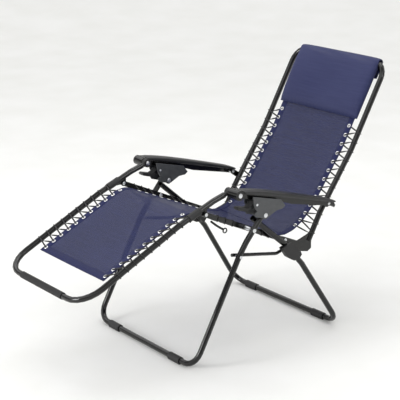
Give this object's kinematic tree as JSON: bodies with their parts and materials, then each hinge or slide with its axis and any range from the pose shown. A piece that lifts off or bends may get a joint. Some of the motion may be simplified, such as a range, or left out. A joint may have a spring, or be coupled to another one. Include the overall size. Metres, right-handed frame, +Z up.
{
  "type": "zero gravity recliner",
  "caption": "Folding zero gravity recliner: bent steel tube frames, a laced mesh sling, a head pillow and armrests with sliding locks.",
  "frame": {"origin": "on the floor, under the middle of the recliner's outline", "axes": "+Z up, +Y towards the backrest, +X the sitter's left"},
  "size_m": [0.6664, 1.4694, 1.0259],
  "materials": {
    "painted_steel": "gloss black powder coat",
    "black_plastic": "moulded black plastic",
    "grey_plastic": "moulded dark grey plastic",
    "zinc": "bright zinc plate",
    "mesh_cloth": "woven coated mesh, navy blue",
    "pillow_cloth": "woven coated mesh, navy blue, padded",
    "elastic": "braided elastic cord, black"
  },
  "bodies": {
    "front_leg": {"front_leg_frame": "painted_steel", "front_foot_sleeve_left": "black_plastic", "front_foot_sleeve_right": "black_plastic", "seat_pivot_pin_left": "zinc", "seat_pivot_pin_right": "zinc", "lock_axle_left": "zinc", "lock_axle_right": "zinc", "strut_pin_left": "zinc", "strut_pin_right": "zinc"},
    "rear_leg": {"rear_leg_frame": "painted_steel", "rear_foot_sleeve_left": "black_plastic", "rear_foot_sleeve_right": "black_plastic"},
    "seat": {"sling_seat": "mesh_cloth", "seat_rail_left": "painted_steel", "seat_rail_right": "painted_steel", "knee_pin_left": "zinc", "knee_pin_right": "zinc", "hip_pin_left": "zinc", "hip_pin_right": "zinc", "lacing_seat_left": "elastic", "lacing_seat_right": "elastic"},
    "legrest": {"legrest_frame": "painted_steel", "foot_grip": "black_plastic", "sling_legrest": "mesh_cloth", "knee_sleeve_left": "black_plastic", "knee_sleeve_right": "black_plastic", "knee_bracket_left": "painted_steel", "knee_bracket_right": "painted_steel", "legrest_eye_left": "black_plastic", "legrest_eye_right": "black_plastic", "arm_front_pin_left": "zinc", "arm_front_pin_right": "zinc", "lacing_legrest_left": "elastic", "lacing_legrest_right": "elastic"},
    "backrest": {"backrest_frame": "painted_steel", "sling_back": "mesh_cloth", "head_pillow": "pillow_cloth", "hip_bracket_left": "painted_steel", "hip_bracket_right": "painted_steel", "arm_rear_tab_left": "painted_steel", "arm_rear_tab_right": "painted_steel", "arm_rear_pin_left": "zinc", "arm_rear_pin_right": "zinc", "lacing_back_left": "elastic", "lacing_back_right": "elastic"},
    "armrest_left": {"armrest_bar_left": "black_plastic", "armrest_pad_left": "black_plastic"},
    "lock_left": {"lock_housing_left": "grey_plastic", "lever_pin_left": "zinc"},
    "lever_left": {"lock_lever_left": "black_plastic"},
    "strut_left": {"fold_strut_left": "painted_steel"},
    "sleeve_left": {"strut_sleeve_left": "black_plastic"},
    "armrest_right": {"armrest_bar_right": "black_plastic", "armrest_pad_right": "black_plastic"},
    "lock_right": {"lock_housing_right": "grey_plastic", "lever_pin_right": "zinc"},
    "lever_right": {"lock_lever_right": "black_plastic"},
    "strut_right": {"fold_strut_right": "painted_steel"},
    "sleeve_right": {"strut_sleeve_right": "black_plastic"}
  },
  "joints": [
    {"name": "recline", "type": "hinge", "parent": "front_leg", "child": "seat", "pos_m": [0, -0.00816, 0.48628], "axis": [-1, 0, 0], "range_deg": [-20, 22]},
    {"name": "backrest_hinge", "type": "hinge", "parent": "seat", "child": "backrest", "pos_m": [0, 0.19083, 0.39412], "axis": [-1, 0, 0], "range_deg": [-4.13, 3.76]},
    {"name": "legrest_hinge", "type": "hinge", "parent": "seat", "child": "legrest", "pos_m": [0, -0.1891, 0.57008], "axis": [-1, 0, 0], "range_deg": [-7.74, 7.04]},
    {"name": "fold", "type": "hinge", "parent": "front_leg", "child": "rear_leg", "pos_m": [0, 0.02041, 0.51519], "axis": [-1, 0, 0], "range_deg": [0, 56]},
    {"name": "armrest_left_hinge", "type": "hinge", "parent": "legrest", "child": "armrest_left", "pos_m": [0, -0.07603, 0.63301], "axis": [-1, 0, 0], "range_deg": [-7.14, 7.84]},
    {"name": "lock_left_swivel", "type": "hinge", "parent": "front_leg", "child": "lock_left", "pos_m": [0, 0.0399, 0.538], "axis": [-1, 0, 0], "range_deg": [-20.2, 22.21]},
    {"name": "lever_left_pull", "type": "hinge", "parent": "lock_left", "child": "lever_left", "pos_m": [0, -0.00131, 0.58598], "axis": [-1, 0, 0], "range_deg": [0, 14], "stiffness_Nm_per_rad": 0.6, "springref_deg": -20.05},
    {"name": "strut_left_pivot", "type": "hinge", "parent": "front_leg", "child": "strut_left", "pos_m": [0, -0.07253, 0.39681], "axis": [-1, 0, 0], "range_deg": [0, 86.1]},
    {"name": "sleeve_left_slide", "type": "slide", "parent": "rear_leg", "child": "sleeve_left", "axis": [0.0629, 0.5372, -0.8411], "range_m": [0, 0.1761]},
    {"name": "armrest_right_hinge", "type": "hinge", "parent": "legrest", "child": "armrest_right", "pos_m": [0, -0.07603, 0.63301], "axis": [-1, 0, 0], "range_deg": [-7.14, 7.84]},
    {"name": "lock_right_swivel", "type": "hinge", "parent": "front_leg", "child": "lock_right", "pos_m": [0, 0.0399, 0.538], "axis": [-1, 0, 0], "range_deg": [-20.2, 22.21]},
    {"name": "lever_right_pull", "type": "hinge", "parent": "lock_right", "child": "lever_right", "pos_m": [0, -0.00131, 0.58598], "axis": [-1, 0, 0], "range_deg": [0, 14], "stiffness_Nm_per_rad": 0.6, "springref_deg": -20.05},
    {"name": "strut_right_pivot", "type": "hinge", "parent": "front_leg", "child": "strut_right", "pos_m": [0, -0.07253, 0.39681], "axis": [-1, 0, 0], "range_deg": [0, 86.1]},
    {"name": "sleeve_right_slide", "type": "slide", "parent": "rear_leg", "child": "sleeve_right", "axis": [-0.0629, 0.5372, -0.8411], "range_m": [0, 0.1761]}
  ],
  "couplings": [
    {"joint": "backrest_hinge", "follows": "recline", "ratio": -0.183},
    {"joint": "legrest_hinge", "follows": "recline", "ratio": -0.3472},
    {"joint": "armrest_left_hinge", "follows": "recline", "ratio": 0.352},
    {"joint": "lock_left_swivel", "follows": "recline", "ratio": 1.0048},
    {"joint": "strut_left_pivot", "follows": "fold", "ratio": 1.5337},
    {"joint": "sleeve_left_slide", "follows": "fold", "m_per_rad": 0.17964},
    {"joint": "armrest_right_hinge", "follows": "recline", "ratio": 0.352},
    {"joint": "lock_right_swivel", "follows": "recline", "ratio": 1.0048},
    {"joint": "strut_right_pivot", "follows": "fold", "ratio": 1.5337},
    {"joint": "sleeve_right_slide", "follows": "fold", "m_per_rad": 0.17964}
  ]
}
